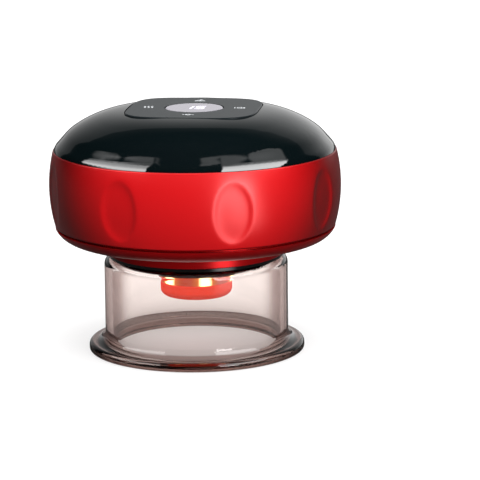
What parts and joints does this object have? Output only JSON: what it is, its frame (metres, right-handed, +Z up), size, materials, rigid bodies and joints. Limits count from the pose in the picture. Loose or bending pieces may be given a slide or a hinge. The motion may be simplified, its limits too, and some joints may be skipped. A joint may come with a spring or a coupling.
{
  "type": "electric cupping massager",
  "caption": "Hand-held electric cupping device: domed head with touch panel, pump and heated lamp module above a smoked transparent cup that screws in from below.",
  "frame": {"origin": "centre of the cup's rim, on the surface that it stands on", "axes": "+Z up through the cup and head, front towards -Y, charging socket towards +Y"},
  "size_m": [0.098, 0.098, 0.0819],
  "materials": {
    "gloss_black": "high gloss",
    "panel_glass": "satin hard-coated",
    "foam_black": "foam",
    "display_glass": "pale tinted lens",
    "display_white": "moulded",
    "board_green": "solder mask",
    "spring_steel": "bright",
    "zinc_screw": "zinc plated",
    "chip_black": "moulded",
    "satin_red": "satin metallic red lacquer on plastic",
    "silicone_black": "satin silicone",
    "smoked_clear": "clear smoked plastic",
    "housing_black": "moulded",
    "clear_lens": "clear plastic",
    "lamp_yellow": "lit lamp",
    "heater_glow": "lit red translucent",
    "aluminium": "pressed",
    "film_orange": "polyimide film",
    "magnet_nickel": "nickel plated",
    "sensor_black": "moulded",
    "fitting_white": "moulded",
    "silicone_clear": "milky silicone",
    "cell_blue": "shrink sleeve",
    "tray_black": "moulded",
    "nickel": "nickel plated",
    "motor_steel": "zinc plated",
    "magnet_grey": "ferrite",
    "bronze": "sintered",
    "copper": "enamelled wire",
    "pump_black": "moulded",
    "pump_grey": "moulded",
    "diaphragm_rubber": "moulded rubber",
    "lead_red": "insulated wire"
  },
  "bodies": {
    "housing": {"air_filter": "foam_black", "air_hoses": "silicone_clear", "air_tee": "fitting_white", "battery_cell": "cell_blue", "battery_contacts": "nickel", "battery_tray": "tray_black", "board_screws": "zinc_screw", "bottom_cover": "satin_red", "buzzer": "chip_black", "case_screws": "zinc_screw", "charge_board": "board_green", "charge_socket": "nickel", "charge_tongue": "chip_black", "control_panel": "panel_glass", "cup_seal": "silicone_black", "display_module": "display_white", "display_window": "display_glass", "grip_band": "satin_red", "heater_cap": "heater_glow", "heater_film": "film_orange", "heater_magnet": "magnet_nickel", "heater_plate": "aluminium", "lamp_board": "board_green", "lamp_housing": "housing_black", "lamp_leds": "lamp_yellow", "lamp_lens": "clear_lens", "lamp_screws": "zinc_screw", "lead_wires": "lead_red", "main_board": "board_green", "main_board_parts": "chip_black", "panel_tape": "foam_black", "pump_bearings": "bronze", "pump_cradle": "foam_black", "pump_crankcase": "pump_black", "pump_diaphragm": "diaphragm_rubber", "pump_head": "pump_black", "pump_motor_can": "motor_steel", "pump_motor_cap": "fitting_white", "pump_motor_magnets": "magnet_grey", "pump_screws": "zinc_screw", "pump_valve_plate": "pump_black", "pump_yoke": "pump_grey", "thermistor": "sensor_black", "top_cover": "gloss_black", "touch_board": "board_green", "touch_screws": "zinc_screw", "touch_springs": "spring_steel", "vacuum_port": "fitting_white", "valve_bobbin": "fitting_white", "valve_coil": "copper", "valve_frame": "motor_steel", "valve_head": "fitting_white", "valve_spring": "spring_steel"},
    "gasket_ring": {"neck_gasket": "silicone_black"},
    "cup": {"cup": "smoked_clear"},
    "pump_rotor": {"pump_shaft": "motor_steel", "pump_armature": "copper", "pump_commutator": "copper", "pump_eccentric": "pump_grey"},
    "valve_slider": {"valve_plunger": "motor_steel"}
  },
  "joints": [
    {"name": "cup_travel", "type": "slide", "parent": "housing", "child": "gasket_ring", "axis": [0, 0, -1], "range_m": [0, 0.00605]},
    {"name": "cup_turn", "type": "hinge", "parent": "gasket_ring", "child": "cup", "pos_m": [0, 0, 0], "axis": [0, 0, -1], "range_deg": [0, 720]},
    {"name": "pump_spin", "type": "hinge", "parent": "housing", "child": "pump_rotor", "pos_m": [0, -0.0176, 0.05605], "axis": [1, 0, 0], "continuous": true},
    {"name": "valve_lift", "type": "slide", "parent": "housing", "child": "valve_slider", "axis": [0, 0, 1], "range_m": [0, 0.0012], "stiffness_N_per_m": 200, "deforming": ["valve_spring"]}
  ],
  "couplings": [
    {"joint": "cup_travel", "follows": "cup_turn", "m_per_rad": 0.00047746}
  ]
}
